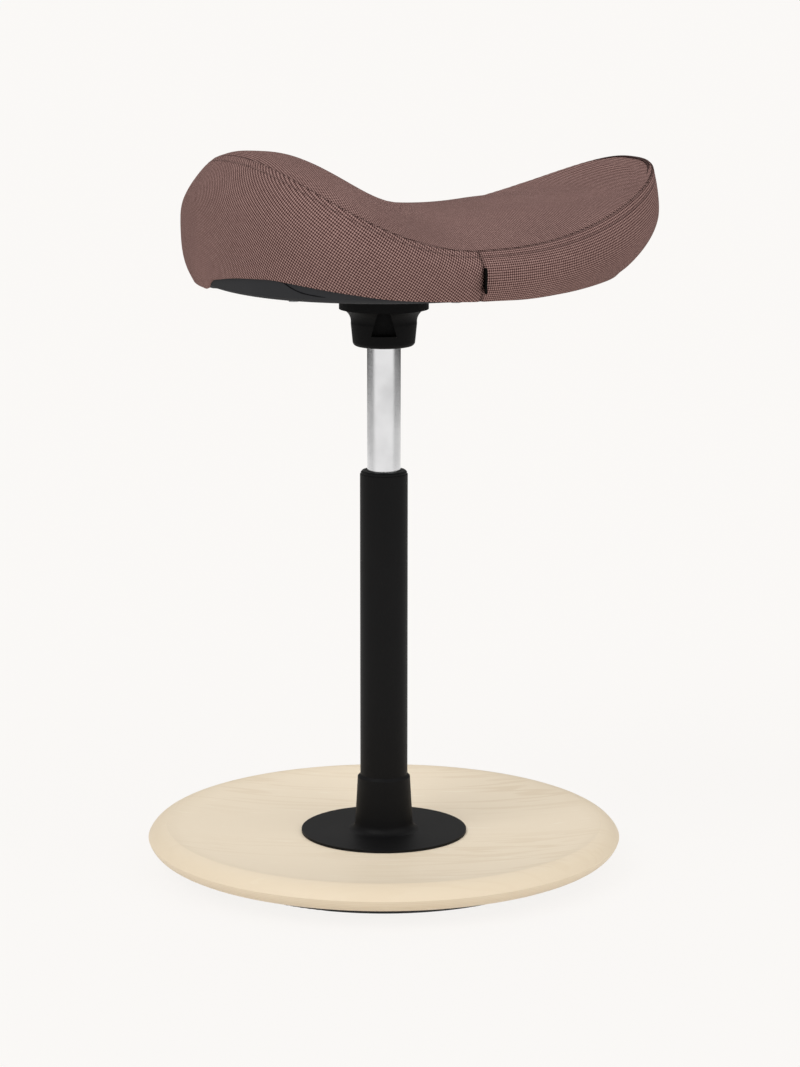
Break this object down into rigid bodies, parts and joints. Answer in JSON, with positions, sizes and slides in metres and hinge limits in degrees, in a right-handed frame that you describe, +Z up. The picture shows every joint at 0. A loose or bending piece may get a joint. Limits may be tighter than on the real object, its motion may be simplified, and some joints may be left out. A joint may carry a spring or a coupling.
{
  "type": "perch stool",
  "caption": "Height-adjustable perch stool: padded saddle seat that turns and rises on a gas-lift column, over a dished round wooden foot that rocks on a rubber ring.",
  "frame": {"origin": "on the column's axis, on the floor under the rubber ring", "axes": "+Z up along the column, +X along the seat towards its narrow front end, +Y towards the sitter's left"},
  "size_m": [0.4378, 0.4, 0.6068],
  "materials": {
    "rubber": "matt black rubber",
    "ash_ply": "pale ash-faced plywood, clear matt lacquer",
    "black_powder": "black satin powder coat",
    "zinc_steel": "zinc-plated steel",
    "black_plastic": "black moulded plastic",
    "bearing_steel": "hardened bright steel",
    "bright_steel": "bright drawn and plated steel",
    "machined_alloy": "machined",
    "black_cast": "black-coated casting",
    "shell_ply": "moulded plywood",
    "foam": "open-cell foam",
    "weave": "mauve-brown basket weave",
    "tag_black": "black woven tape",
    "grey_lining": "slate-grey lining"
  },
  "bodies": {
    "foot": {"rubber_ring": "rubber", "base_board": "ash_ply", "base_flange": "black_powder", "flange_studs": "zinc_steel", "base_nuts": "zinc_steel", "base_washers": "zinc_steel", "column_tube": "black_powder", "guide_bush": "black_plastic", "tube_plug": "zinc_steel", "lower_race": "bearing_steel", "bearing_balls": "bearing_steel", "ball_cage": "black_plastic"},
    "rod": {"upper_race": "bearing_steel", "bump_stop": "rubber", "piston_rod": "bright_steel", "rod_clip": "zinc_steel", "piston": "machined_alloy", "piston_seal": "rubber", "piston_nut": "zinc_steel"},
    "seat": {"gas_cylinder": "bright_steel", "rod_guide": "black_plastic", "rod_seal": "rubber", "pressure_tube": "machined_alloy", "valve_housing": "machined_alloy", "seat_boss": "black_cast", "lever_pin": "zinc_steel", "seat_plate": "black_powder", "seat_shell": "shell_ply", "shell_tnuts": "zinc_steel", "plate_screws": "zinc_steel", "seat_foam": "foam", "cover_top_panel": "weave", "cover_front_panel": "weave", "cover_rear_panel": "weave", "seam_tag": "tag_black", "under_cover": "grey_lining", "under_cover_screws": "zinc_steel"},
    "valve": {"valve_pin": "bright_steel"},
    "lever": {"release_lever": "black_powder", "lever_grip": "black_plastic"}
  },
  "joints": [
    {"name": "seat_swivel", "type": "hinge", "parent": "foot", "child": "rod", "pos_m": [0, 0, 0.033], "axis": [0, 0, 1], "continuous": true},
    {"name": "height_slide", "type": "slide", "parent": "rod", "child": "seat", "axis": [0, 0, 1], "range_m": [-0.084, 0.156]},
    {"name": "release_tilt", "type": "hinge", "parent": "seat", "child": "lever", "pos_m": [0.01122, 0.02456, 0.4795], "axis": [0.9095, -0.4156, 0], "range_deg": [0, 4.2], "stiffness_Nm_per_rad": 1.5, "springref_deg": -14.32},
    {"name": "valve_press", "type": "slide", "parent": "seat", "child": "valve", "axis": [0, 0, 1], "range_m": [-0.0023, 0.0002]}
  ],
  "couplings": [
    {"joint": "valve_press", "follows": "release_tilt", "m_per_rad": -0.03}
  ]
}
